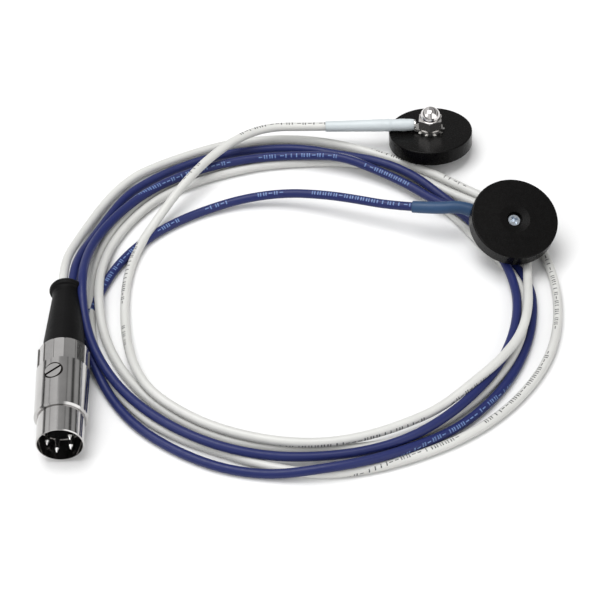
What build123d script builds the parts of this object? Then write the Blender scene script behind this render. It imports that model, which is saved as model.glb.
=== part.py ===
"""Two-electrode test lead: a round four-pin plug, two insulated leads wound in one loose coil,
and a disc electrode on a ring terminal at the end of each lead.

Millimetres, +Z up, z = 0 is the table that the lead lies on. The plug lies along Y with its mouth
towards -Y. The origin is on the table, under the middle of the plug and the two electrodes.
"""
from build123d import *
import os
from math import cos, hypot, pi, radians, sin, tan

os.makedirs("parts", exist_ok=True)

# ---------------------------------------------------------------- driving dimensions

FIT_GAP = 0.05          # radial gap between pieces that are pushed or screwed together
LEAD_R = 1.35           # insulated lead, 2.7 over the insulation
CONDUCTOR_R = 0.6       # bare stranded conductor

# plug: stations are measured along its axis, from the mouth towards the leads
PLUG_X = -68.5
MOUTH_Y = -67.5
PLUG_R = 7.5            # outside of the handle, which rests on the table
SHIELD_R = 6.6
SHIELD_MOUTH_R = 6.27   # bore in front of the insert
SHIELD_BORE_R = 6.0
SHIELD_STEP = 8.75      # behind this station the shield is slimmer, inside the handle
SHIELD_REAR_R = 6.35
SHIELD_LENGTH = 14.0
HANDLE_FRONT = 8.8
HANDLE_REAR = 33.4
HANDLE_BORE_R = 6.4
HANDLE_LIP_R = 5.75
HANDLE_LIP = 2.0
FLUTES = 14
FLUTE_WIDTH = 2.9
FLUTE_DEPTH = 0.45
FLUTE_LENGTH = 7.8
INSERT_FRONT = 7.0
INSERT_REAR = 12.5
PIN_R = 0.725
PIN_STEP_STATION = 6.9  # behind this station each pin is slimmer, inside the insert
PIN_REAR_R = 0.55
PIN_CIRCLE_R = 3.5
PIN_TIP = 0.2
PIN_CONE = 1.1
PIN_REAR = 16.5
KEY_ANGLE = 107         # degrees about the axis, counter-clockwise from +X, seen from the mouth
PIN_STEP = 72           # the four pins stand 72 degrees apart, away from the key
SCREW_STATION = 20.9
SCREW_R = 2.5
SCREW_GAP = 0.12
SCREW_ANGLE = 16        # degrees from the top towards -X
BOOT_END = 58.6
BOOT_R = 6.3            # where the boot meets the handle
BOOT_NECK_R = 4.05      # where the boot is slimmest, in front of its rim
BOOT_RIM_R = 5.0
WHITE_EXIT = -1.2       # the two leads leave the boot side by side, off its axis in X
BLUE_EXIT = 1.6

# electrodes: a disc, and a stack on its seat face: lock washer, ring terminal, cap nut
DISC_R = 13.0
DISC_THICKNESS = 4.8
RECESS_R = 2.35
RECESS_DEPTH = 1.3
STUD_R = 2.0
WASHER_THICKNESS = 0.5
TONGUE_THICKNESS = 0.8
SWIVEL_GAP = 0.05       # between the ring terminal and what it turns against
TERMINAL_HOLE_R = STUD_R + 0.08
TERMINAL_RING_R = 3.8
NUT_FLATS = 7.0
NUT_HEX_HEIGHT = 3.2
NUT_HEIGHT = 6.8
NUT_DOME_R = 3.1
BARREL_HEIGHT = 2.1     # the barrel's axis over the seat face
BARREL_R = 1.5
BARREL_BORE_R = 1.0
BARREL_START = 4.6      # distances from the stud's axis along the lead
BARREL_END = 9.6
INSULATION_START = 9.7
INNER_SLEEVE_START = 5.05
INNER_SLEEVE_R = 1.78
OUTER_SLEEVE_R = 1.95
OUTER_SLEEVE_BELL_R = 2.06
inner_sleeve_ends = {"white": 14.2, "blue": 12.8}
outer_sleeve_starts = {"white": 12.0, "blue": 11.0}

WHITE_SEAT = (42.8, 54.9, 7.1)              # middle of the seat face, nut side up
WHITE_NORMAL = (-0.038, 0.168, 0.985)       # out of the seat face, along the stud
WHITE_WAY = (-0.997, 0.062, -0.049)         # from the stud along the ring terminal
BLUE_SEAT = (63.18, 9.77, 9.14)             # nut side down, the plain face looks up
BLUE_NORMAL = (-0.108, 0.327, -0.939)
BLUE_WAY = (-0.878, 0.412, 0.244)

# coil: an oval, and how far the bundle reaches outside and inside it at 16 even stations
COIL_CENTRE = (2.5, -8.5)
COIL_HALF_X = 66.0
COIL_HALF_Y = 62.0
COIL_HEIGHT = 5.4
COIL_OUTSIDE = [-0.8, 5.0, 11.5, 9.0, 6.5, 2.0, 2.0, 4.5, 7.5, 8.5, 7.5, 6.0, 6.5, 6.5, 5.0, -1.5]
COIL_INSIDE = [-6.0, -4.0, -4.0, -6.0, -7.0, -9.0, -11.0, -10.0, -8.0, -6.5, -6.5, -6.5, -5.5, -5.5, -5.0, -6.0]

# routes of the stretches that aren't coiled, each point chosen by hand
WHITE_START_ROUTE = [
    (-69.7, -8.9, 7.5), (-69.7, -2.9, 7.5), (-68.9, 6.5, 5.2), (-66.4, 14.8, 3.0),
    (-63.2, 23.0, 1.8), (-58.8, 32.0, 1.4), (-53.3, 40.0, 1.4), (-46.5, 46.4, 1.4),
]
BLUE_START_ROUTE = [
    (-66.9, -8.9, 7.5), (-66.9, -2.9, 7.5), (-65.2, 6.5, 5.6), (-61.9, 15.0, 3.4),
    (-58.2, 24.0, 1.9), (-53.6, 33.0, 1.4),
]
WHITE_END_ROUTE = [
    (-43.5, -47.5, 4.0), (-48.6, -38.0, 4.0), (-51.2, -26.0, 2.2), (-52.2, -13.0, 1.4),
    (-51.6, 0.0, 1.4), (-48.6, 12.0, 1.6), (-42.4, 23.0, 3.4), (-34.5, 34.0, 6.8),
    (-26.5, 44.5, 7.6), (-17.5, 53.0, 7.8), (-7.5, 58.0, 7.6),
]
BLUE_END_ROUTE = [
    (-59.6, -6.0, 1.4), (-55.2, 4.5, 1.4), (-48.0, 14.2, 1.4), (-39.0, 22.0, 1.4),
    (-28.0, 27.8, 1.6), (-16.0, 31.2, 2.8), (-3.5, 31.2, 4.6), (8.0, 28.2, 6.3),
    (17.5, 24.8, 7.3), (26.9, 21.4, 7.8), (41.6, 16.6, 10.4),
]

PLUG_PROFILE = Plane(origin=(PLUG_X, MOUTH_Y, PLUG_R), x_dir=(0, 1, 0), z_dir=(1, 0, 0))
PLUG_AXIS = Axis((PLUG_X, MOUTH_Y, PLUG_R), (0, 1, 0))
seat_planes = {
    "white": Plane(origin=WHITE_SEAT, x_dir=WHITE_WAY, z_dir=WHITE_NORMAL),
    "blue": Plane(origin=BLUE_SEAT, x_dir=BLUE_WAY, z_dir=BLUE_NORMAL),
}


def across_plug(station):
    """Plane across the plug's axis at a station, seen from the leads: its y is up, its x is -X."""
    return Plane(origin=(PLUG_X, MOUTH_Y + station, PLUG_R), x_dir=(-1, 0, 0), z_dir=(0, 1, 0))


def coil_point(station, offset):
    """A point beside the coil's oval, offset outwards, at one of 16 stations clockwise from -X."""
    turn = pi - radians(22.5) * station
    out_x = cos(turn) / COIL_HALF_X
    out_y = sin(turn) / COIL_HALF_Y
    size = hypot(out_x, out_y)
    return (
        COIL_CENTRE[0] + COIL_HALF_X * cos(turn) + offset * out_x / size,
        COIL_CENTRE[1] + COIL_HALF_Y * sin(turn) + offset * out_y / size,
    )


def bend_radii(points):
    """For each corner of a route, the arc radius that its two runs leave room for."""
    found = []
    for before, corner, after in zip(points, points[1:], points[2:]):
        arriving = Vector(corner) - Vector(before)
        leaving = Vector(after) - Vector(corner)
        half_turn = radians(arriving.get_angle(leaving)) / 2
        shorter = min(arriving.length, leaving.length)
        found.append(0.45 * shorter / tan(half_turn))
    return found


# ---------------------------------------------------------------- plug

with BuildPart() as plug_shield:
    with BuildSketch(PLUG_PROFILE):
        with BuildLine():
            Polyline(
                (0, SHIELD_MOUTH_R), (0, SHIELD_R - 0.2), (0.2, SHIELD_R), (SHIELD_STEP, SHIELD_R),
                (SHIELD_STEP, SHIELD_REAR_R), (SHIELD_LENGTH, SHIELD_REAR_R),
                (SHIELD_LENGTH, SHIELD_BORE_R), (INSERT_FRONT - FIT_GAP, SHIELD_BORE_R),
                (INSERT_FRONT - FIT_GAP, SHIELD_MOUTH_R), close=True,
            )
        make_face()
    revolve(axis=PLUG_AXIS)
    # the key rib inside the mouth, opposite the gap between the pins
    key_r = SHIELD_MOUTH_R - 0.35
    with BuildSketch(across_plug(0.8)):
        with Locations((-key_r * cos(radians(KEY_ANGLE)), key_r * sin(radians(KEY_ANGLE)))):
            Rectangle(1.8, 1.1, rotation=90 - KEY_ANGLE)
    extrude(amount=INSERT_FRONT - 0.8 - FIT_GAP)
plug_shield.part.label = "plug_shield"
export_step(plug_shield.part, "parts/plug_shield.step")

with BuildPart() as plug_handle:
    with BuildSketch(PLUG_PROFILE):
        with BuildLine():
            Polyline(
                (HANDLE_FRONT, HANDLE_BORE_R), (HANDLE_FRONT, PLUG_R - 0.5),
                (HANDLE_FRONT + 0.5, PLUG_R), (HANDLE_REAR - 0.9, PLUG_R),
                (HANDLE_REAR, PLUG_R - 0.7), (HANDLE_REAR, HANDLE_LIP_R),
                (HANDLE_REAR - HANDLE_LIP, HANDLE_LIP_R), (HANDLE_REAR - HANDLE_LIP, HANDLE_BORE_R),
                close=True,
            )
        make_face()
    revolve(axis=PLUG_AXIS)
    # flats milled around the rear end, with a narrow land between each pair
    with BuildSketch(across_plug(HANDLE_REAR - FLUTE_LENGTH)):
        with PolarLocations(PLUG_R - FLUTE_DEPTH + 0.5, FLUTES, start_angle=7):
            Rectangle(1.0, FLUTE_WIDTH)
    extrude(amount=FLUTE_LENGTH, mode=Mode.SUBTRACT)
    # the hole for the clamping screw, on the upper side
    screw_plane = Plane(
        origin=(PLUG_X, MOUTH_Y + SCREW_STATION, PLUG_R), x_dir=(0, 1, 0),
        z_dir=(-sin(radians(SCREW_ANGLE)), 0, cos(radians(SCREW_ANGLE))),
    )
    with BuildSketch(screw_plane):
        Circle(SCREW_R + SCREW_GAP)
    extrude(amount=PLUG_R + 1, mode=Mode.SUBTRACT)
plug_handle.part.label = "plug_handle"
export_step(plug_handle.part, "parts/plug_handle.step")

with BuildPart() as clamping_screw:
    with BuildSketch(screw_plane.offset(SHIELD_REAR_R + FIT_GAP)):
        Circle(SCREW_R)
    extrude(amount=PLUG_R - SHIELD_REAR_R - FIT_GAP)
    with BuildSketch(screw_plane.offset(PLUG_R)):
        Rectangle(2 * SCREW_R + 1, 0.7, rotation=117)
    extrude(amount=-0.5, mode=Mode.SUBTRACT)
clamping_screw.part.label = "clamping_screw"
export_step(clamping_screw.part, "parts/clamping_screw.step")

# two half-shells behind the shield hold the insert's tail and the cable clamp inside the handle
SHELL_START = SHIELD_LENGTH + 0.1
SHELL_END = 28.6
for shell_name, side in (("inner_shell_upper", 1), ("inner_shell_lower", -1)):
    with BuildPart() as inner_shell:
        with BuildSketch(across_plug(SHELL_START)):
            Circle(SHIELD_REAR_R)
            Circle(SHIELD_BORE_R, mode=Mode.SUBTRACT)
            with Locations((0, -side * (PLUG_R - FIT_GAP))):
                Rectangle(4 * PLUG_R, 2 * PLUG_R, mode=Mode.SUBTRACT)
        extrude(amount=SHELL_END - SHELL_START)
    inner_shell.part.label = shell_name
    export_step(inner_shell.part, f"parts/{shell_name}.step")

pin_angles = [KEY_ANGLE + PIN_STEP * (number + 1) for number in range(4)]
pin_places = [
    (-PIN_CIRCLE_R * cos(radians(angle)), PIN_CIRCLE_R * sin(radians(angle)))
    for angle in pin_angles
]

with BuildPart() as contact_insert:
    with BuildSketch(across_plug(INSERT_FRONT)):
        Circle(SHIELD_BORE_R - FIT_GAP)
        with Locations(*pin_places):
            Circle(PIN_REAR_R + FIT_GAP, mode=Mode.SUBTRACT)
    extrude(amount=INSERT_REAR - INSERT_FRONT)
contact_insert.part.label = "contact_insert"
export_step(contact_insert.part, "parts/contact_insert.step")

for number, place in enumerate(pin_places, start=1):
    with BuildPart() as contact_pin:
        with BuildSketch(across_plug(PIN_TIP + PIN_CONE)):
            with Locations(place):
                Circle(PIN_R)
        extrude(amount=PIN_STEP_STATION - PIN_TIP - PIN_CONE)
        with BuildSketch(across_plug(PIN_STEP_STATION)):
            with Locations(place):
                Circle(PIN_REAR_R)
        extrude(amount=PIN_REAR - PIN_STEP_STATION)
        # conical tip
        with BuildSketch(across_plug(PIN_TIP)):
            with Locations(place):
                Circle(0.18)
        with BuildSketch(across_plug(PIN_TIP + PIN_CONE)):
            with Locations(place):
                Circle(PIN_R)
        loft()
        # solder cup in the tail
        with BuildSketch(across_plug(PIN_REAR)):
            with Locations(place):
                Circle(PIN_REAR_R - 0.15)
        extrude(amount=-2.2, mode=Mode.SUBTRACT)
    contact_pin.part.label = f"contact_pin_{number}"
    export_step(contact_pin.part, f"parts/contact_pin_{number}.step")

LEAD_STRIP = 20.0       # station where each lead's insulation begins
exit_offsets = {"white": WHITE_EXIT, "blue": BLUE_EXIT}
lead_middle = (WHITE_EXIT + BLUE_EXIT) / 2
lead_spacing = BLUE_EXIT - WHITE_EXIT

with BuildPart() as cable_clamp:
    with BuildSketch(across_plug(24.0)):
        with Locations((-lead_middle, 0)):
            SlotCenterToCenter(lead_spacing, 2 * (LEAD_R + FIT_GAP + 0.7))
            SlotCenterToCenter(lead_spacing, 2 * (LEAD_R + FIT_GAP), mode=Mode.SUBTRACT)
    extrude(amount=3.6)
cable_clamp.part.label = "cable_clamp"
export_step(cable_clamp.part, "parts/cable_clamp.step")

with BuildPart() as boot:
    with BuildSketch(PLUG_PROFILE):
        with BuildLine():
            outline = Polyline(
                (29.0, 0), (29.0, 6.3), (31.3, 6.3), (31.3, HANDLE_LIP_R - 0.1),
                (HANDLE_REAR + 0.1, HANDLE_LIP_R - 0.1), (HANDLE_REAR + 0.1, BOOT_R),
            )
            taper = Polyline(outline @ 1, (54.6, BOOT_NECK_R), (55.8, BOOT_NECK_R))
            flare = TangentArc(taper @ 1, (56.6, BOOT_RIM_R - 0.3), tangent=(1, 0))
            rim = ThreePointArc(flare @ 1, (57.4, BOOT_RIM_R), (BOOT_END, BOOT_RIM_R - 0.7))
            Polyline(rim @ 1, (BOOT_END, 0), (29.0, 0))
        make_face()
    revolve(axis=PLUG_AXIS)
    # a cavity behind the cable clamp, and one slot for both leads
    with BuildSketch(across_plug(29.0)):
        Circle(4.9)
    with BuildSketch(across_plug(36.0)):
        Circle(3.4)
    loft(mode=Mode.SUBTRACT)
    with BuildSketch(across_plug(35.0)):
        with Locations((-lead_middle, 0)):
            SlotCenterToCenter(lead_spacing, 2 * (LEAD_R + FIT_GAP))
    extrude(amount=BOOT_END - 35.0, mode=Mode.SUBTRACT)
boot.part.label = "boot"
export_step(boot.part, "parts/boot.step")

# inside the plug each lead runs straight from its stripped end to the end of the boot
conductor_pins = {"white": pin_places[0], "blue": pin_places[3]}
for colour, offset in exit_offsets.items():
    with BuildPart() as lead_in_plug:
        with BuildSketch(across_plug(LEAD_STRIP)):
            with Locations((-offset, 0)):
                Circle(LEAD_R)
        extrude(amount=BOOT_END - LEAD_STRIP)
    lead_in_plug.part.label = f"{colour}_lead_in_plug"
    export_step(lead_in_plug.part, f"parts/{colour}_lead_in_plug.step")

    pin_place = conductor_pins[colour]
    cup_floor = PIN_REAR - 2.0
    with BuildPart() as conductor:
        with BuildSketch(across_plug(cup_floor)):
            with Locations(pin_place):
                Circle(PIN_REAR_R - 0.19)
        extrude(amount=PIN_REAR + 0.3 - cup_floor)
        with BuildSketch(across_plug(PIN_REAR + 0.3)):
            with Locations(pin_place):
                Circle(PIN_REAR_R - 0.19)
        with BuildSketch(across_plug(LEAD_STRIP)):
            with Locations((-offset, 0)):
                Circle(CONDUCTOR_R)
        loft()
    conductor.part.label = f"{colour}_conductor"
    export_step(conductor.part, f"parts/{colour}_conductor.step")

# ---------------------------------------------------------------- electrodes, terminals and sleeves

tongue_bottom = WASHER_THICKNESS + SWIVEL_GAP
nut_bottom = tongue_bottom + TONGUE_THICKNESS + SWIVEL_GAP

for colour, seat in seat_planes.items():
    contact = seat.offset(-DISC_THICKNESS)

    with BuildPart() as disc:
        with BuildSketch(contact):
            Circle(DISC_R)
        extrude(amount=DISC_THICKNESS)
        fillet(disc.edges().filter_by(GeomType.CIRCLE), radius=0.35)
        with BuildSketch(contact):
            Circle(RECESS_R)
        extrude(amount=RECESS_DEPTH, mode=Mode.SUBTRACT)
        with BuildSketch(contact):
            Circle(STUD_R + FIT_GAP)
        extrude(amount=DISC_THICKNESS, mode=Mode.SUBTRACT)
        # shallow dish that leads into the recess
        with BuildSketch(contact):
            Circle(RECESS_R + 2.2)
        with BuildSketch(contact.offset(0.2)):
            Circle(RECESS_R)
        loft(mode=Mode.SUBTRACT)
    disc.part.label = f"{colour}_disc"
    export_step(disc.part, f"parts/{colour}_disc.step")

    with BuildPart() as lock_washer:
        with BuildSketch(seat):
            Circle(3.6)
            with PolarLocations(3.75, 10):
                Rectangle(1.3, 0.9)
            Circle(STUD_R + FIT_GAP, mode=Mode.SUBTRACT)
        extrude(amount=WASHER_THICKNESS)
    lock_washer.part.label = f"{colour}_lock_washer"
    export_step(lock_washer.part, f"parts/{colour}_lock_washer.step")

    # cap nut: hexagon, bevelled corners, domed top, blind hole
    with BuildPart() as cap_nut:
        with BuildSketch(seat.offset(nut_bottom)):
            RegularPolygon(NUT_FLATS / 2, 6, major_radius=False, rotation=26)
        extrude(amount=NUT_HEX_HEIGHT)
        with BuildSketch(Plane(origin=seat.origin, x_dir=seat.x_dir, z_dir=seat.y_dir)):
            with BuildLine():
                Polyline(
                    (0, -nut_bottom), (3.75, -nut_bottom), (4.05, -nut_bottom - 0.25),
                    (4.05, 0.3 - nut_bottom - NUT_HEX_HEIGHT),
                    (NUT_DOME_R + 0.15, -nut_bottom - NUT_HEX_HEIGHT), (0, -nut_bottom - NUT_HEX_HEIGHT),
                    close=True,
                )
            make_face()
        revolve(axis=Axis(seat.origin, seat.z_dir), mode=Mode.INTERSECT)
        with BuildSketch(Plane(origin=seat.origin, x_dir=seat.x_dir, z_dir=seat.y_dir)):
            dome_start = nut_bottom + NUT_HEX_HEIGHT
            dome_side = nut_bottom + NUT_HEIGHT - NUT_DOME_R
            with BuildLine():
                side = Polyline(
                    (0, -dome_start), (NUT_DOME_R, -dome_start), (NUT_DOME_R, -dome_side),
                )
                crown = CenterArc((0, -dome_side), NUT_DOME_R, -90, 90)
                Line((0, -dome_side - NUT_DOME_R), (0, -dome_start))
            make_face()
        revolve(axis=Axis(seat.origin, seat.z_dir))
        with BuildSketch(seat.offset(nut_bottom)):
            Circle(STUD_R + FIT_GAP)
        extrude(amount=4.6, mode=Mode.SUBTRACT)
    cap_nut.part.label = f"{colour}_cap_nut"
    export_step(cap_nut.part, f"parts/{colour}_cap_nut.step")

    # stud: threaded through the disc, with a cross recess in the end that shows
    with BuildPart() as stud:
        with BuildSketch(contact.offset(RECESS_DEPTH - 0.1)):
            Circle(STUD_R)
        extrude(amount=DISC_THICKNESS - RECESS_DEPTH + 0.1 + nut_bottom + 4.0)
        chamfer(stud.edges().filter_by(GeomType.CIRCLE), length=0.25)
        with BuildSketch(contact.offset(RECESS_DEPTH - 0.1)):
            Rectangle(2.5, 0.8, rotation=35)
            Rectangle(2.5, 0.8, rotation=125)
        extrude(amount=1.2, mode=Mode.SUBTRACT)
    stud.part.label = f"{colour}_stud"
    export_step(stud.part, f"parts/{colour}_stud.step")

    # ring terminal: ring, neck and crimp barrel
    barrel_plane = Plane(
        origin=seat.from_local_coords(Vector(BARREL_START, 0, BARREL_HEIGHT)),
        x_dir=seat.y_dir, z_dir=seat.x_dir,
    )
    with BuildPart() as ring_terminal:
        with BuildSketch(seat.offset(tongue_bottom)):
            Circle(TERMINAL_RING_R)
            with BuildLine():
                Polyline((2.2, -2.6), (5.0, -1.3), (5.0, 1.3), (2.2, 2.6), close=True)
            make_face()
            Circle(TERMINAL_HOLE_R, mode=Mode.SUBTRACT)
        extrude(amount=TONGUE_THICKNESS)
        with BuildSketch(barrel_plane):
            Circle(BARREL_R)
        extrude(amount=BARREL_END - BARREL_START)
        with BuildSketch(barrel_plane.offset(1.6)):
            Circle(BARREL_BORE_R)
        extrude(amount=BARREL_END - BARREL_START, mode=Mode.SUBTRACT)
    ring_terminal.part.label = f"{colour}_ring_terminal"
    export_step(ring_terminal.part, f"parts/{colour}_ring_terminal.step")

    # end of the lead's conductor, crimped in the barrel
    with BuildPart() as crimped_end:
        with BuildSketch(barrel_plane.offset(2.0)):
            Circle(BARREL_BORE_R)
        extrude(amount=INSULATION_START - BARREL_START - 2.0)
    crimped_end.part.label = f"{colour}_crimped_end"
    export_step(crimped_end.part, f"parts/{colour}_crimped_end.step")

    # inner sleeve, shrunk over the barrel
    with BuildPart() as inner_sleeve:
        with BuildSketch(barrel_plane.offset(INNER_SLEEVE_START - BARREL_START)):
            Circle(INNER_SLEEVE_R)
            Circle(BARREL_R + 0.02, mode=Mode.SUBTRACT)
        extrude(amount=inner_sleeve_ends[colour] - INNER_SLEEVE_START)
    inner_sleeve.part.label = f"{colour}_inner_sleeve"
    export_step(inner_sleeve.part, f"parts/{colour}_inner_sleeve.step")

# ---------------------------------------------------------------- leads outside the plug

# both end routes turn onto the terminal's axis and follow it to where the insulation begins
for route, colour, joins_axis in ((WHITE_END_ROUTE, "white", 37.0), (BLUE_END_ROUTE, "blue", 15.5)):
    for distance in (joins_axis, INSULATION_START):
        on_axis = seat_planes[colour].from_local_coords(Vector(distance, 0, BARREL_HEIGHT))
        route.append(tuple(on_axis))

lead_routes = {
    "white_lead_start": WHITE_START_ROUTE,
    "blue_lead_start": BLUE_START_ROUTE,
    "white_lead_end": WHITE_END_ROUTE,
    "blue_lead_end": BLUE_END_ROUTE,
}
for node, route in lead_routes.items():
    with BuildPart() as lead:
        with BuildLine() as lead_path:
            FilletPolyline(*route, radius=bend_radii(route))
        with BuildSketch(Plane(origin=lead_path.line @ 0, z_dir=lead_path.line % 0)):
            Circle(LEAD_R)
        sweep(path=lead_path.line)
    lead.part.label = node
    export_step(lead.part, f"parts/{node}.step")
    print(node, "radius", LEAD_R, "bends no tighter than", round(min(bend_radii(route)), 1))

# outer sleeves: a bell over the end of the inner sleeve, then a tube that follows the lead
sleeve_corners = {"white": [], "blue": [BLUE_END_ROUTE[-2], BLUE_END_ROUTE[-3]]}
sleeve_bends = {"white": [], "blue": bend_radii(BLUE_END_ROUTE)[:-3:-1]}
sleeve_ends = {
    "white": tuple(seat_planes["white"].from_local_coords(Vector(33.0, 0, BARREL_HEIGHT))),
    "blue": tuple(Vector(BLUE_END_ROUTE[-3]) * 0.5 + Vector(BLUE_END_ROUTE[-4]) * 0.5),
}
for colour, seat in seat_planes.items():
    bell_start = Plane(
        origin=seat.from_local_coords(Vector(outer_sleeve_starts[colour], 0, BARREL_HEIGHT)),
        x_dir=seat.y_dir, z_dir=seat.x_dir,
    )
    bell_length = inner_sleeve_ends[colour] + 0.05 - outer_sleeve_starts[colour]
    bell_end = bell_start.offset(bell_length)
    route = [tuple(bell_end.origin), *sleeve_corners[colour], sleeve_ends[colour]]
    with BuildPart() as outer_sleeve:
        with BuildSketch(bell_start):
            Circle(OUTER_SLEEVE_BELL_R)
            Circle(INNER_SLEEVE_R + 0.03, mode=Mode.SUBTRACT)
        extrude(amount=bell_length)
        with BuildLine() as sleeve_path:
            if sleeve_bends[colour]:
                FilletPolyline(*route, radius=sleeve_bends[colour])
            else:
                Line(*route)
        with BuildSketch(bell_end):
            Circle(OUTER_SLEEVE_R)
            Circle(LEAD_R + FIT_GAP, mode=Mode.SUBTRACT)
        sweep(path=sleeve_path.line)
    outer_sleeve.part.label = f"{colour}_outer_sleeve"
    export_step(outer_sleeve.part, f"parts/{colour}_outer_sleeve.step")

# the coil as one closed shape round both leads, hollowed where the electrodes rest on it
with BuildPart() as lead_coil:
    with BuildSketch():
        with BuildLine():
            Spline(*[coil_point(*place) for place in enumerate(COIL_OUTSIDE)], periodic=True)
        make_face()
        with BuildLine():
            Spline(*[coil_point(*place) for place in enumerate(COIL_INSIDE)], periodic=True)
        make_face(mode=Mode.SUBTRACT)
    extrude(amount=COIL_HEIGHT)
    with BuildSketch(seat_planes["white"].offset(-DISC_THICKNESS - 0.3)):
        Circle(DISC_R + 1)
    extrude(amount=12, mode=Mode.SUBTRACT)
    with BuildSketch(seat_planes["blue"].offset(0.3)):
        Circle(DISC_R + 1)
    extrude(amount=-12, mode=Mode.SUBTRACT)
    with BuildSketch(seat_planes["blue"].offset(-1)):
        Circle(5.5)
    extrude(amount=12, mode=Mode.SUBTRACT)
    with BuildSketch(seat_planes["blue"].offset(-1)):
        with Locations((7, 0)):
            Rectangle(14, 5.6)
    extrude(amount=5.8, mode=Mode.SUBTRACT)
lead_coil.part.label = "lead_coil"
export_step(lead_coil.part, "parts/lead_coil.step")
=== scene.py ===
"""Look of the two-electrode test lead: plug, two leads in a loose coil, two disc electrodes."""
import math
from functools import partial

import bmesh
import bpy
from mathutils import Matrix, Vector


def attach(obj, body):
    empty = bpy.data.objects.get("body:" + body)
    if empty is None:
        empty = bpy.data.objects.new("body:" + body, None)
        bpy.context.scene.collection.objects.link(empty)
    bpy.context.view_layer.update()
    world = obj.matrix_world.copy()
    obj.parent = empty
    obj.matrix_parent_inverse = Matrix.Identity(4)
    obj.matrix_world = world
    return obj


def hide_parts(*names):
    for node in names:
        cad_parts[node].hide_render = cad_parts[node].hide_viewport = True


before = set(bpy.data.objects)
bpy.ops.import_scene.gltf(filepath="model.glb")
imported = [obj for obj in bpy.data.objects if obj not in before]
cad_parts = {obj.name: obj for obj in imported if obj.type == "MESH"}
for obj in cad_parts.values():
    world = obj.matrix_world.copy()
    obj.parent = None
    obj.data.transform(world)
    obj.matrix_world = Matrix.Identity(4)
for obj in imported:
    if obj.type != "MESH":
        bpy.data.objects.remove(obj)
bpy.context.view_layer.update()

MM = 0.001
ROOT = "plug_and_leads"
LEAD_R = 1.35 * MM

# ---------------------------------------------------------------- camera


def add_camera():
    """A long lens, 47 degrees above the table and turned slightly towards +X."""
    data = bpy.data.cameras.new("camera")
    data.lens = 128.4
    data.sensor_width = 36.0
    camera = bpy.data.objects.new("camera", data)
    bpy.context.collection.objects.link(camera)
    aim = Vector((-0.7, -9.4, 0.0)) * MM
    elevation, turn, distance = math.radians(47.0), math.radians(2.4), 0.629
    forward = Vector((
        math.sin(turn) * math.cos(elevation),
        math.cos(turn) * math.cos(elevation),
        -math.sin(elevation),
    ))
    camera.location = aim - forward * distance
    camera.rotation_euler = (math.pi / 2 - elevation, 0.0, -turn)
    bpy.context.scene.camera = camera


add_camera()

# ---------------------------------------------------------------- material helpers


class Nodes:
    """Short ways to add and join the nodes of one material or world."""

    def __init__(self, owner):
        owner.use_nodes = True
        self.tree = owner.node_tree
        self.tree.nodes.clear()

    def add(self, kind, **settings):
        node = self.tree.nodes.new(kind)
        for key, value in settings.items():
            setattr(node, key, value)
        return node

    def link(self, source, target):
        self.tree.links.new(source, target)

    def put(self, socket, value):
        """Sets a socket to a value, or joins it to another node's output."""
        if isinstance(value, bpy.types.NodeSocket):
            self.link(value, socket)
        else:
            socket.default_value = value

    def math(self, operation, first, second=0.0, third=0.0):
        """The result of an operation; each value may be a number or another node's output."""
        node = self.add("ShaderNodeMath", operation=operation)
        for socket, value in zip(node.inputs, (first, second, third)):
            self.put(socket, value)
        return node.outputs[0]

    def noise(self, vector, scale, detail=2.0, roughness=0.5):
        node = self.add("ShaderNodeTexNoise")
        self.link(vector, node.inputs["Vector"])
        node.inputs["Scale"].default_value = scale
        node.inputs["Detail"].default_value = detail
        node.inputs["Roughness"].default_value = roughness
        return node.outputs["Fac"]

    def span(self, value, low, high, to_low, to_high):
        """A value moved from one range to another, and kept within it."""
        node = self.add("ShaderNodeMapRange")
        for socket, given in zip(node.inputs, (value, low, high, to_low, to_high)):
            self.put(socket, given)
        return node.outputs[0]

    def mix(self, factor, first, second):
        """A colour between two others."""
        node = self.add("ShaderNodeMix", data_type="RGBA")
        self.put(node.inputs["Factor"], factor)
        self.put(node.inputs["A"], first)
        self.put(node.inputs["B"], second)
        return node.outputs["Result"]

    def bump(self, height, distance, strength=1.0):
        node = self.add("ShaderNodeBump")
        node.inputs["Strength"].default_value = strength
        node.inputs["Distance"].default_value = distance
        self.link(height, node.inputs["Height"])
        return node.outputs["Normal"]

    def vector_math(self, operation, first, second):
        """A vector operation's node, whose first value is another node's output."""
        node = self.add("ShaderNodeVectorMath", operation=operation)
        self.link(first, node.inputs[0])
        node.inputs[1].default_value = second
        return node

    def tinted(self, base, place, scale, low, high):
        """A colour that grows a little darker and lighter over broad patches."""
        tone = self.span(self.noise(place, scale, 3.0), 0.3, 0.7, low, high)
        node = self.add("ShaderNodeVectorMath", operation="SCALE")
        node.inputs[0].default_value = base[:3]
        self.link(tone, node.inputs["Scale"])
        return node.outputs[0]

    def place(self):
        """Position on the object, in metres, from the origin that all the pieces share."""
        return self.add("ShaderNodeTexCoord").outputs["Object"]

    def surface(self, **values):
        """A Principled shader joined to the output; a value may be a number, a colour or a node."""
        shader = self.add("ShaderNodeBsdfPrincipled")
        for name, value in values.items():
            self.put(shader.inputs[name.replace("_", " ")], value)
        output = self.add("ShaderNodeOutputMaterial")
        self.link(shader.outputs[0], output.inputs["Surface"])
        return shader


def colour(red, green, blue):
    return (red, green, blue, 1.0)


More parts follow.
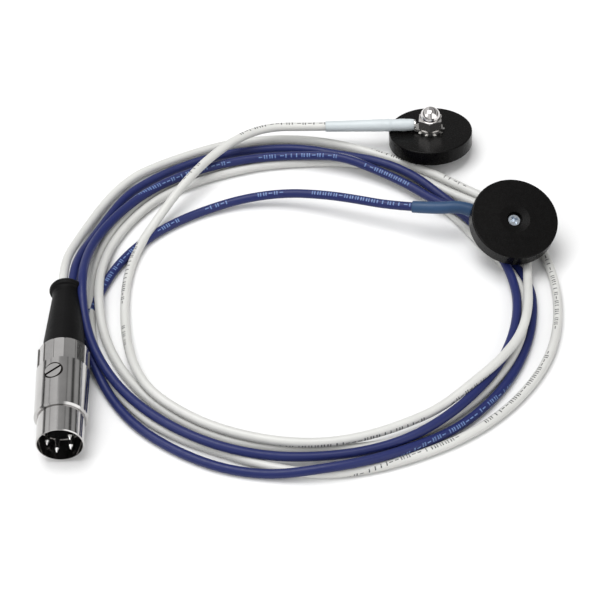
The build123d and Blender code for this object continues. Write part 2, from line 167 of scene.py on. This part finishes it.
def finish_material(name, base, rough, metallic=0.0, spread=0.04, grain=900.0, bump=0.00002, **more):
    """A material with small, even changes of tone, roughness and surface over the whole piece."""
    material = bpy.data.materials.new(name)
    n = Nodes(material)
    place = n.place()
    fine = n.noise(place, grain, 4.0, 0.6)
    roughness = n.span(fine, 0.25, 0.75, rough * 0.82, rough * 1.18)
    n.surface(
        Base_Color=n.tinted(base, place, 60.0, 1.0 - spread, 1.0 + spread),
        Roughness=roughness, Metallic=metallic,
        Normal=n.bump(fine, bump), **more,
    )
    return material


# the printed line is a row of cells of this length. A cell holds one tall tick, two of them, or a
# low dash, and now and then a whole group of cells is plain.
PRINT_CELL = 1.7 * MM
CELLS_IN_GROUP = 5
# places and widths along the lead, in cells
TICK_PLACES = (0.25, 0.68)
TICK_HALF_WIDTH = 0.11
DASH_PLACE = 0.5
DASH_HALF_WIDTH = 0.33
# heights, in turns round the lead
TICK_HALF_HEIGHT = 0.072
DASH_HALF_HEIGHT = 0.02
# a cell's random number, from 0 to 1, gives a dash below the first of these and two ticks above
# the second; a group's gives plain cells below the third
DASH_BELOW = 0.25
TWO_TICKS_ABOVE = 0.55
PLAIN_BELOW = 0.22


def printed_ink(n, uv):
    """1 on the ticks and dashes of a lead's printed line, and 0 elsewhere."""
    split = n.add("ShaderNodeSeparateXYZ")
    n.link(uv, split.inputs[0])
    along, around = split.outputs[0], split.outputs[1]
    cells = n.math("MULTIPLY", along, 1.0 / PRINT_CELL)
    within = n.math("FRACT", cells)
    dice = n.add("ShaderNodeTexWhiteNoise", noise_dimensions="1D")
    n.link(n.math("FLOOR", cells), dice.inputs["W"])
    group = n.add("ShaderNodeTexWhiteNoise", noise_dimensions="1D")
    n.link(n.math("FLOOR", n.math("MULTIPLY", cells, 1.0 / CELLS_IN_GROUP)), group.inputs["W"])
    number = dice.outputs["Value"]

    from_line = n.math("ABSOLUTE", n.math("SUBTRACT", around, 0.5))
    first = n.math("COMPARE", within, TICK_PLACES[0], TICK_HALF_WIDTH)
    second = n.math(
        "MULTIPLY", n.math("COMPARE", within, TICK_PLACES[1], TICK_HALF_WIDTH),
        n.math("GREATER_THAN", number, TWO_TICKS_ABOVE))
    tall = n.math("LESS_THAN", from_line, TICK_HALF_HEIGHT)
    ticks = n.math(
        "MULTIPLY", n.math("MULTIPLY", tall, n.math("MAXIMUM", first, second)),
        n.math("GREATER_THAN", number, DASH_BELOW))
    dash = n.math(
        "MULTIPLY", n.math("LESS_THAN", from_line, DASH_HALF_HEIGHT),
        n.math(
            "MULTIPLY", n.math("COMPARE", within, DASH_PLACE, DASH_HALF_WIDTH),
            n.math("LESS_THAN", number, DASH_BELOW)))
    kept = n.math("GREATER_THAN", group.outputs["Value"], PLAIN_BELOW)
    return n.math("MULTIPLY", n.math("MAXIMUM", ticks, dash), kept)


def insulation_material(name, base, print_colour, print_strength, shine):
    """Lead insulation. Its UV runs in metres along the lead and in turns round it, 0.5 on the
    side that carries the printed line."""
    material = bpy.data.materials.new(name)
    n = Nodes(material)
    place = n.place()
    worn = n.span(n.noise(place, 1500.0, 3.0), 0.35, 0.6, 0.6, 1.0)
    uv = n.add("ShaderNodeUVMap", uv_map="along").outputs[0]
    ink = n.math("MULTIPLY", printed_ink(n, uv), n.math("MULTIPLY", worn, print_strength))
    fine = n.noise(place, 700.0, 3.0)
    n.surface(
        Base_Color=n.mix(ink, n.tinted(base, place, 90.0, 0.95, 1.05), print_colour),
        Roughness=n.span(fine, 0.3, 0.7, 0.33, 0.45), Specular_IOR_Level=shine,
        Normal=n.bump(fine, 0.00003),
    )
    return material


white_insulation = insulation_material(
    "white_insulation", colour(0.535, 0.535, 0.515), colour(0.015, 0.015, 0.02), 0.95, 0.45)
blue_insulation = insulation_material(
    "blue_insulation", colour(0.012, 0.018, 0.092), colour(0.17, 0.27, 0.50), 0.75, 0.25)

# ---------------------------------------------------------------- materials of the CAD nodes

# the clamping screw's axis: a point on the plug's axis, and the way up out of the handle
SCREW_FOOT = Vector((-68.5, -46.6, 7.5)) * MM
SCREW_UP = Vector((-math.sin(math.radians(16.0)), 0.0, math.cos(math.radians(16.0))))
SCREW_OUTSIDE = 4.0 * MM  # only what lies higher than this on the axis is by the screw
# where the shade is painted: the slot's reach from the axis, the half width of the painted shade ring
# over the gap, the gap's radius on the handle and on the screw, and the height below which the slot is
# painted dark
SCREW_REACH = 2.7 * MM
GAP_HALF_WIDTH = 0.17 * MM
HANDLE_GAP_R = 2.64 * MM
SCREW_GAP_R = 2.55 * MM
SLOT_TOP = 7.33 * MM


def nickel_material(name, gap_radius, slot_top):
    """Bright nickel, with painted shade: dark at one radius round the screw's axis for the shade in the
    gap round the screw, and near the axis dark below a height for the shade in the screw's slot."""
    material = bpy.data.materials.new(name)
    n = Nodes(material)
    place = n.place()
    from_foot = n.vector_math("SUBTRACT", place, SCREW_FOOT).outputs[0]
    height = n.vector_math("DOT_PRODUCT", from_foot, SCREW_UP).outputs["Value"]
    sideways = n.vector_math("CROSS_PRODUCT", from_foot, SCREW_UP).outputs[0]
    length = n.add("ShaderNodeVectorMath", operation="LENGTH")
    n.link(sideways, length.inputs[0])
    reach = length.outputs["Value"]

    # painted shade: the gap round the screw and the screw's slot get a near-black colour and more
    # roughness, standing in for the shade inside them
    outside = n.math("GREATER_THAN", height, SCREW_OUTSIDE)
    in_gap = n.math("COMPARE", reach, gap_radius, GAP_HALF_WIDTH)
    in_slot = n.math(
        "MULTIPLY", n.math("LESS_THAN", height, slot_top), n.math("LESS_THAN", reach, SCREW_REACH))
    painted_shade = n.math("MULTIPLY", outside, n.math("MAXIMUM", in_gap, in_slot))

    fine = n.noise(place, 1400.0, 4.0, 0.6)
    shade = n.span(n.noise(place, 110.0, 3.0), 0.3, 0.7, 0.0, 1.0)
    bright = n.mix(shade, colour(0.46, 0.45, 0.445), colour(0.54, 0.53, 0.52))
    n.surface(
        Base_Color=n.mix(painted_shade, bright, colour(0.03, 0.028, 0.026)),
        Roughness=n.math("ADD", n.span(fine, 0.25, 0.75, 0.10, 0.15), n.math("MULTIPLY", painted_shade, 0.4)),
        Metallic=1.0, Normal=n.bump(fine, 0.000004),
    )
    return material


# both nickels carry the painted shade of the gap round the screw; only the screw's carries the painted
# shade of its slot
nickel = nickel_material("nickel", HANDLE_GAP_R, 0.0)
screw_nickel = nickel_material("screw_nickel", SCREW_GAP_R, SLOT_TOP)
chrome = finish_material(
    "chrome", colour(0.66, 0.64, 0.63), 0.09, 1.0, spread=0.04, grain=1600.0, bump=0.000003)
zinc = finish_material(
    "zinc", colour(0.55, 0.60, 0.66), 0.20, 1.0, spread=0.08, grain=1800.0, bump=0.000006)
steel = finish_material(
    "steel", colour(0.52, 0.51, 0.50), 0.24, 1.0, spread=0.07, grain=1800.0, bump=0.000006)
tin = finish_material(
    "tin", colour(0.62, 0.61, 0.59), 0.28, 1.0, spread=0.06, grain=1500.0, bump=0.000008)
contact = finish_material(
    "contact", colour(0.74, 0.74, 0.73), 0.12, 1.0, spread=0.04, grain=1600.0, bump=0.000003)
copper = finish_material(
    "copper", colour(0.60, 0.30, 0.18), 0.32, 1.0, spread=0.10, grain=2200.0, bump=0.000010)
insert_plastic = finish_material(
    "insert_plastic", colour(0.004, 0.004, 0.005), 0.5, spread=0.2, Specular_IOR_Level=0.1)
boot_rubber = finish_material(
    "boot_rubber", colour(0.0035, 0.0034, 0.0036), 0.5, spread=0.25, grain=1300.0, bump=0.00003,
    Specular_IOR_Level=0.09)
disc_rubber = finish_material(
    "disc_rubber", colour(0.0026, 0.0024, 0.0023), 0.27, spread=0.3, grain=700.0, bump=0.000012,
    Specular_IOR_Level=0.10)
white_sleeve = finish_material(
    "white_sleeve", colour(0.485, 0.525, 0.54), 0.40, spread=0.07, grain=500.0, bump=0.00006,
    Specular_IOR_Level=0.45)
blue_sleeve = finish_material(
    "blue_sleeve", colour(0.020, 0.055, 0.125), 0.42, spread=0.08, grain=500.0, bump=0.00005,
    Specular_IOR_Level=0.3)

NODE_MATERIALS = {
    nickel: ["plug_shield", "plug_handle", "inner_shell_upper", "inner_shell_lower"],
    screw_nickel: ["clamping_screw"],
    steel: ["cable_clamp", "white_lock_washer", "blue_lock_washer"],
    zinc: ["white_stud", "blue_stud"],
    chrome: ["white_cap_nut", "blue_cap_nut"],
    tin: ["white_ring_terminal", "blue_ring_terminal"],
    contact: [f"contact_pin_{number}" for number in (1, 2, 3, 4)],
    copper: ["white_conductor", "blue_conductor", "white_crimped_end", "blue_crimped_end"],
    insert_plastic: ["contact_insert"],
    boot_rubber: ["boot"],
    disc_rubber: ["white_disc", "blue_disc"],
    white_insulation: ["white_lead_in_plug"],
    blue_insulation: ["blue_lead_in_plug"],
}
for material, nodes in NODE_MATERIALS.items():
    for node in nodes:
        for material_slot in bpy.data.objects[node].material_slots:
            material_slot.material = material

# ---------------------------------------------------------------- routes of the leads

# the stretches that aren't coiled, as in the CAD model, in millimetres
WHITE_START = [
    (-69.7, -8.9, 7.5), (-69.7, -2.9, 7.5), (-68.9, 6.5, 5.2), (-66.4, 14.8, 3.0),
    (-63.2, 23.0, 1.8), (-58.8, 32.0, 1.4), (-53.3, 40.0, 1.4), (-46.5, 46.4, 1.4),
]
BLUE_START = [
    (-66.9, -8.9, 7.5), (-66.9, -2.9, 7.5), (-65.2, 6.5, 5.6), (-61.9, 15.0, 3.4),
    (-58.2, 24.0, 1.9), (-53.6, 33.0, 1.4),
]
WHITE_END = [
    (-43.5, -47.5, 4.0), (-48.6, -38.0, 4.0), (-51.2, -26.0, 2.2), (-52.2, -13.0, 1.4),
    (-51.6, 0.0, 1.4), (-48.6, 12.0, 1.6), (-42.4, 23.0, 3.4), (-34.5, 34.0, 6.8),
    (-26.5, 44.5, 7.6), (-17.5, 53.0, 7.8), (-7.5, 58.0, 7.6),
]
BLUE_END = [
    (-59.6, -6.0, 1.4), (-55.2, 4.5, 1.4), (-48.0, 14.2, 1.4), (-39.0, 22.0, 1.4),
    (-28.0, 27.8, 1.6), (-16.0, 31.2, 2.8), (-3.5, 31.2, 4.6), (8.0, 28.2, 6.3),
    (17.5, 24.8, 7.3), (26.9, 21.4, 7.8), (41.6, 16.6, 10.4),
]

# electrodes: middle of the seat face, its normal, and the way that the ring terminal points
SEATS = {
    "white": (
        Vector((42.8, 54.9, 7.1)), Vector((-0.038, 0.168, 0.985)), Vector((-0.997, 0.062, -0.049))),
    "blue": (
        Vector((63.18, 9.77, 9.14)), Vector((-0.108, 0.327, -0.939)), Vector((-0.878, 0.412, 0.244))),
}
BARREL_HEIGHT = 2.1  # of a terminal's barrel over the seat face
# distances from the stud at which a lead lines up with its barrel, and at which it ends in it
LINED_UP = {"white": 37.0, "blue": 15.5}
LEAD_STOP = 9.7


def on_terminal(side, distance):
    """A point on the axis of a terminal's barrel, so far from the stud, in millimetres."""
    seat, normal, way = SEATS[side]
    normal = normal.normalized()
    way = (way - normal * way.dot(normal)).normalized()
    return seat + way * distance + normal * BARREL_HEIGHT


# the coil: an oval, with 16 stations clockwise from -X. Each turn of a lead has, from station 0,
# how far it lies outside the oval and its layer there, 0 for what lies under the rest.
COIL_CENTRE = (2.5, -8.5)
COIL_HALF_X = 66.0
COIL_HALF_Y = 62.0
STATIONS = 16
STEPS_PER_STATION = 2
NOT_HERE = None
WHITE_TURNS = [
    ([NOT_HERE] * 3 + [7.5, 4.8, 0.5, 0.3, 5.6, 6.2, 7.0, 6.0, 4.7, 5.3, 1.6, 2.4, 0.5],
     [0] * 16),
    ([-1.8, 0.1, 0.2, -2.5, -3.3, -7.0, -9.8, -10.8, -3.9, -2.3, -2.6, -1.7, -3.6, -2.9, -3.3, -4.0],
     [0, 0, 0, 0, 1, 1, 0, 0, 1, 1, 1, 1, 1, 1, 1, 1]),
    ([-4.1, -2.6, -2.7, -5.2, -6.0, -4.4, -3.9, 2.9, -2.5, -2.4, -5.2, -5.2, -3.6, -4.0] + [NOT_HERE] * 2,
     [3, 1, 1, 1, 0, 0, 0, 0, 4, 4, 4, 4, 4, 4, 4, 4]),
]
BLUE_TURNS = [
    ([NOT_HERE] * 2 + [5.3, 3.2, 0.6, -4.6, -6.6, -9.3, -6.2, -4.7, -3.2, -0.3, 0.1, 1.9, 1.4, 1.2],
     [1, 1, 1, 1, 1, 2, 2, 3, 3, 3, 3, 3, 3, 3, 3, 4]),
    ([0.3, 1.2, -0.4, -3.4, -5.6, -8.8, -11.4, -8.0, -1.2, -0.3, 1.0, 2.4, 5.3, 7.0, 5.9, 2.4],
     [6, 5, 4, 4, 4, 4, 3, 1, 0, 0, 0, 1, 2, 2, 2, 2]),
]
# a lead that bridges from one crossing to the next stays at least this high, by station
WHITE_LEAST = [{}, {}, {0: 4.0, 8: 3.6, 9: 4.0, 10: 4.0, 11: 4.0, 12: 4.0, 13: 4.0}]
BLUE_LEAST = [
    {8: 2.9, 9: 2.9, 10: 3.0, 11: 3.0, 12: 2.9, 13: 3.4, 14: 3.4, 15: 4.0},
    {0: 10.4, 1: 4.6, 2: 3.9, 3: 3.8, 4: 3.7},
]
LYING_HEIGHT = 1.4  # of a strand's axis where it lies on the table
LEAD_PITCH = 2.7  # between the axes of two strands that touch


def coil_point(station, lane, height):
    """A point beside the oval at a station, in millimetres."""
    turn = math.pi - 2 * math.pi * station / STATIONS
    out = Vector((math.cos(turn) / COIL_HALF_X, math.sin(turn) / COIL_HALF_Y, 0.0)).normalized()
    on_oval = Vector((
        COIL_CENTRE[0] + COIL_HALF_X * math.cos(turn),
        COIL_CENTRE[1] + COIL_HALF_Y * math.sin(turn), height,
    ))
    # a quadratic spline runs inside its control points by this much at this spacing
    mean_radius = (COIL_HALF_X + COIL_HALF_Y) / 2
    inset = 0.25 * mean_radius * (1 - math.cos(2 * math.pi / STATIONS / STEPS_PER_STATION))
    return on_oval + out * (lane + inset)


def between(values, place):
    """A value at a station, or the mean of two where the place is halfway between them."""
    low = int(place)
    neighbours = values[low:low + 2]
    if place == low or len(neighbours) < 2 or NOT_HERE in neighbours:
        return values[low]
    return sum(neighbours) / 2


def strands_at(leads, step):
    """The strands that pass one step of the oval, from the lowest layer up: layer, lead, place
    along the lead in stations, lane and least height."""
    strands = []
    for name, (lanes, layers, least_heights) in leads.items():
        for turn in range(len(lanes) // STATIONS):
            place = turn * STATIONS + step / STEPS_PER_STATION
            lane = between(lanes, place)
            if lane is NOT_HERE:
                continue
            low = int(place)
            layer = layers[low] if place == low else max(layers[low:low + 2])
            strands.append((layer, name, place, lane, between(least_heights, place)))
    return sorted(strands)


def lay_turns():
    """Lays each strand on the ones under it at every step, and gives each lead's points."""
    leads = {}
    for name, turns, least in (("white", WHITE_TURNS, WHITE_LEAST), ("blue", BLUE_TURNS, BLUE_LEAST)):
        leads[name] = (
            [lane for turn_lanes, turn_layers in turns for lane in turn_lanes],
            [layer for turn_lanes, turn_layers in turns for layer in turn_layers],
            [heights.get(station, 0.0) for heights in least for station in range(STATIONS)],
        )
    points = {}
    for step in range(STATIONS * STEPS_PER_STATION):
        lying = []
        for _, name, place, lane, least_height in strands_at(leads, step):
            height = max(LYING_HEIGHT, least_height)
            for other_lane, other_height in lying:
                across = abs(lane - other_lane)
                if across < LEAD_PITCH:
                    height = max(height, other_height + math.sqrt(LEAD_PITCH**2 - across**2))
            lying.append((lane, height))
            points[name, place] = coil_point(place, lane, height)
    return {name: [points[key] for key in sorted(points) if key[0] == name] for name in leads}


coil_turns = lay_turns()
routes = {
    name: [
        *start, *coil_turns[name], *end,
        on_terminal(name, LINED_UP[name]), on_terminal(name, LEAD_STOP),
    ]
    for name, start, end in (("white", WHITE_START, WHITE_END), ("blue", BLUE_START, BLUE_END))
}


def spline_line(points, steps=8):
    """The points of a smooth open NURBS spline with these control points, in metres."""
    curve = bpy.data.curves.new("route", "CURVE")
    curve.dimensions = "3D"
    curve.resolution_u = steps
    spline = curve.splines.new("NURBS")
    spline.points.add(len(points) - 1)
    for made, point in zip(spline.points, points):
        made.co = (point[0] * MM, point[1] * MM, point[2] * MM, 1.0)
    spline.order_u = 3
    spline.use_endpoint_u = True
    holder = bpy.data.objects.new("route", curve)
    bpy.context.collection.objects.link(holder)
    mesh = bpy.data.meshes.new_from_object(holder)
    line = [vertex.co.copy() for vertex in mesh.vertices]
    bpy.data.objects.remove(holder)
    bpy.data.curves.remove(curve)
    bpy.data.meshes.remove(mesh)
    return line


def lengths_along(line):
    """Distance along a line at each of its points."""
    total, found = 0.0, [0.0]
    for start, end in zip(line, line[1:]):
        total += (end - start).length
        found.append(total)
    return found


def tube(name, line, radius_at, sides=20, twist_at=None, uneven=None):
    """A mesh tube round a line. Its UV is metres along and turns round, 0.5 on the upper side.
    Functions of the distance along give the radius, the turns by which the UV is twisted and an
    uneven part of the radius."""
    along = lengths_along(line)
    bm = bmesh.new()
    uv = bm.loops.layers.uv.new("along")
    rings = []
    for i, centre in enumerate(line):
        way = (line[min(i + 1, len(line) - 1)] - line[max(i - 1, 0)]).normalized()
        side = way.cross(Vector((0, 0, 1))).normalized()
        up = side.cross(way).normalized()
        radius = radius_at(along[i])
        ring = []
        for k in range(sides):
            angle = 2 * math.pi * k / sides
            reach = radius + uneven(along[i], angle) if uneven else radius
            ring.append(bm.verts.new(centre + (side * math.sin(angle) - up * math.cos(angle)) * reach))
        rings.append((ring, twist_at(along[i], side) if twist_at else 0.0))
    for i in range(len(rings) - 1):
        for k in range(sides):
            corners = [(i, k), (i, k + 1), (i + 1, k + 1), (i + 1, k)]
            face = bm.faces.new([rings[a][0][b % sides] for a, b in corners])
            face.smooth = True
            for loop, (a, b) in zip(face.loops, corners):
                loop[uv].uv = (along[a], b / sides - rings[a][1])
    bm.faces.new(list(reversed(rings[0][0])))
    bm.faces.new(rings[-1][0])
    bmesh.ops.recalc_face_normals(bm, faces=bm.faces)
    mesh = bpy.data.meshes.new(name)
    bm.to_mesh(mesh)
    bm.free()
    piece = bpy.data.objects.new(name, mesh)
    bpy.context.collection.objects.link(piece)
    return piece


# stretches of each lead where its printed line shows: start and end, in metres from the boot, and
# how many turns it has rolled down from where it shows best
PRINT_SHOWS = {
    "white": ((0.145, 0.305, 0.0), (1.06, 1.10, 0.26), (1.18, 1.40, 0.0)),
    "blue": ((0.455, 0.54, 0.0), (0.64, 0.655, 0.0), (0.785, 1.00, 0.0)),
}
# past the end of a stretch the line rolls on to the underside within this distance, in metres
PRINT_ROLLS = 0.03
UNDERSIDE = 0.5
# how far the line leans from the top, in turns: all along, where the lead runs along Y, and where
# it runs along X
PRINT_LEANS = {"white": (0.02, 0.05, -0.02), "blue": (0.0, 0.0, 0.09)}


def eased(part):
    """Runs from 0 to 1 as its value does, with a soft start and end."""
    return part * part * (3 - 2 * part)


def printed_side(name, along, side):
    """Turns round the lead from its top to its printed line. The side is the lead's right hand."""
    outside, turned = min(
        (max(start - along, along - end, 0.0), turned) for start, end, turned in PRINT_SHOWS[name])
    rolled = eased(min(1.0, outside / PRINT_ROLLS))
    all_along, along_y, along_x = PRINT_LEANS[name]
    lean = all_along + along_y * side.x + along_x * side.y
    sway = 0.025 * math.sin(along * 23.0)
    return lean + sway + turned + (UNDERSIDE - turned) * rolled


lead_materials = {"white": white_insulation, "blue": blue_insulation}
lead_lines = {name: spline_line(points) for name, points in routes.items()}
for name, line in lead_lines.items():
    lead = tube(f"{name}_lead", line, lambda along: LEAD_R, twist_at=partial(printed_side, name))
    lead.data.materials.append(lead_materials[name])
    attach(lead, ROOT)
    replaced = [f"{name}_lead_start", f"{name}_lead_end"]
    if name == "white":
        replaced.append("lead_coil")
    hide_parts(*replaced)
    round(lengths_along(line)[-1], 2)

# ---------------------------------------------------------------- shrink sleeves

# along a sleeve from the terminal, in millimetres: distance from the stud and radius
SLEEVE_SHAPES = {
    "white": [
        (5.05, 1.62), (5.5, 1.74), (6.4, 1.86), (9.0, 1.92), (10.6, 1.84), (12.0, 1.80), (12.6, 1.95),
        (13.2, 2.02), (14.2, 1.90), (16.0, 1.93), (20.0, 1.86), (26.0, 1.74), (32.7, 1.66), (33.0, 1.60),
    ],
    "blue": [
        (5.05, 1.62), (5.5, 1.78), (9.0, 1.92), (11.0, 1.98), (12.8, 2.0), (16.0, 1.9), (22.0, 1.86),
        (27.0, 1.82), (30.6, 1.78), (30.9, 1.68),
    ],
}
SLEEVE_START = 5.05
SLEEVE_STEP = 0.35
# points on the terminal's own axis, between the sleeve's start and the end of the lead
TERMINAL_STEP = 0.45
TERMINAL_STEPS = 10
# the folds, in millimetres: where the inner sleeve's end shows, and where the barrel ends
INNER_END = 12.4
INNER_END_SPREAD = 1.6
BARREL_END = 10.5
FOLD_DEPTH = 0.035
RIPPLE_DEPTH = 0.05


def sleeve_radius(side, along):
    """A sleeve's radius, eased between the rows of its shape, so far along it in metres."""
    distance = along / MM + SLEEVE_START
    rows = SLEEVE_SHAPES[side]
    for (start, first), (end, second) in zip(rows, rows[1:]):
        if distance <= end:
            part = max(0.0, (distance - start) / (end - start))
            return (first + (second - first) * eased(part)) * MM
    return rows[-1][1] * MM


def sleeve_line(side):
    """The lead's own line from the terminal backwards, as long as the sleeve, in fine steps."""
    joined = [
        on_terminal(side, SLEEVE_START + TERMINAL_STEP * k) * MM for k in range(TERMINAL_STEPS)
    ]
    joined += list(reversed(lead_lines[side]))
    along = lengths_along(joined)
    length = SLEEVE_SHAPES[side][-1][0] - SLEEVE_START
    points, k = [], 0
    for step in range(int(length / SLEEVE_STEP) + 1):
        wanted = step * SLEEVE_STEP * MM
        while along[k + 1] < wanted:
            k += 1
        part = (wanted - along[k]) / (along[k + 1] - along[k])
        points.append(joined[k].lerp(joined[k + 1], part))
    return points


def crumpled(along, angle):
    """Small uneven folds where a sleeve has shrunk round the barrel and the inner sleeve's end."""
    distance = along / MM + SLEEVE_START
    near_end = math.exp(-((distance - INNER_END) / INNER_END_SPREAD) ** 2)
    over_barrel = 1.0 if distance < BARREL_END else 0.25
    fold = math.sin(3 * angle + distance * 1.7) * math.sin(distance * 2.9 + angle)
    ripple = math.sin(distance * 7.0 + 2 * angle)
    return (FOLD_DEPTH * over_barrel * fold + RIPPLE_DEPTH * near_end * ripple) * MM


for side, material in (("white", white_sleeve), ("blue", blue_sleeve)):
    sleeve = tube(
        f"{side}_sleeve", sleeve_line(side), partial(sleeve_radius, side), sides=32, uneven=crumpled)
    sleeve.data.materials.append(material)
    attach(sleeve, ROOT)
    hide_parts(f"{side}_inner_sleeve", f"{side}_outer_sleeve")

# ---------------------------------------------------------------- floor, world and lights

# the studio all round, in turns about the plug's axis: position and brightness of each stop. Its
# dark and bright bands are what the plug's curved nickel shows.
STUDIO_BANDS = [
    (0.18, 0.55), (0.262, 0.50), (0.270, 0.05), (0.290, 0.06), (0.300, 0.72), (0.352, 0.74),
    (0.362, 0.30), (0.372, 0.74), (0.455, 0.80), (0.470, 0.42), (0.560, 0.36), (0.568, 0.12),
    (0.578, 0.42), (0.616, 0.40), (0.630, 0.07), (0.655, 0.08), (0.668, 0.45), (0.712, 0.42),
    (0.724, 0.05), (0.742, 0.05), (0.752, 1.0), (0.790, 0.6),
]
STUDIO_STRENGTH = 1.05
PANEL_BRIGHTNESS = 1.7
# area lights, aimed at the origin: name, place and size in metres, and power in watts
LIGHTS = (
    ("overhead", (-0.25, 0.15, 1.3), 0.9, 15.0),
    ("left", (-1.1, -0.5, 0.8), 0.7, 4.0),
)


def add_floor():
    """A plain white floor."""
    bpy.ops.mesh.primitive_plane_add(size=6.0, location=(0, 0, 0))
    floor = bpy.context.object
    floor.name = "floor"
    material = bpy.data.materials.new("floor")
    n = Nodes(material)
    n.surface(Base_Color=colour(0.78, 0.78, 0.78), Roughness=0.7, Specular_IOR_Level=0.2)
    floor.data.materials.append(material)


def add_studio():
    """The banded studio, as the world's background."""
    world = bpy.data.worlds.new("studio")
    bpy.context.scene.world = world
    n = Nodes(world)
    split = n.add("ShaderNodeSeparateXYZ")
    n.link(n.add("ShaderNodeTexCoord").outputs["Generated"], split.inputs[0])
    turn = n.math("ARCTAN2", split.outputs[0], split.outputs[2])
    ramp = n.add("ShaderNodeValToRGB")
    ramp.color_ramp.interpolation = "LINEAR"
    stops = ramp.color_ramp.elements
    while len(stops) < len(STUDIO_BANDS):
        stops.new(0.5)
    for stop, (position, level) in zip(stops, STUDIO_BANDS):
        stop.position = position
        stop.color = colour(level, level, level)
    n.link(n.math("ADD", n.math("DIVIDE", turn, 2 * math.pi), 0.5), ramp.inputs[0])
    # a bright panel low on the front right, which the edges that face the front pick up
    panel = n.math(
        "MULTIPLY", n.span(split.outputs[1], -0.15, -0.35, 0.0, 1.0),
        n.span(split.outputs[0], 0.15, 0.35, 0.0, 1.0))
    panel_colour = colour(PANEL_BRIGHTNESS, PANEL_BRIGHTNESS, PANEL_BRIGHTNESS)
    background = n.add("ShaderNodeBackground")
    n.link(n.mix(panel, ramp.outputs[0], panel_colour), background.inputs[0])
    background.inputs[1].default_value = STUDIO_STRENGTH
    output = n.add("ShaderNodeOutputWorld")
    n.link(background.outputs[0], output.inputs[0])


def add_lights():
    """The area lights, each aimed at the origin."""
    for name, place, size, power in LIGHTS:
        data = bpy.data.lights.new(name, "AREA")
        data.size = size
        data.energy = power
        light = bpy.data.objects.new(name, data)
        bpy.context.collection.objects.link(light)
        light.location = place
        light.rotation_euler = (-Vector(place)).to_track_quat("-Z", "Y").to_euler()


add_floor()
add_studio()
add_lights()
bpy.context.scene.view_settings.view_transform = "Standard"
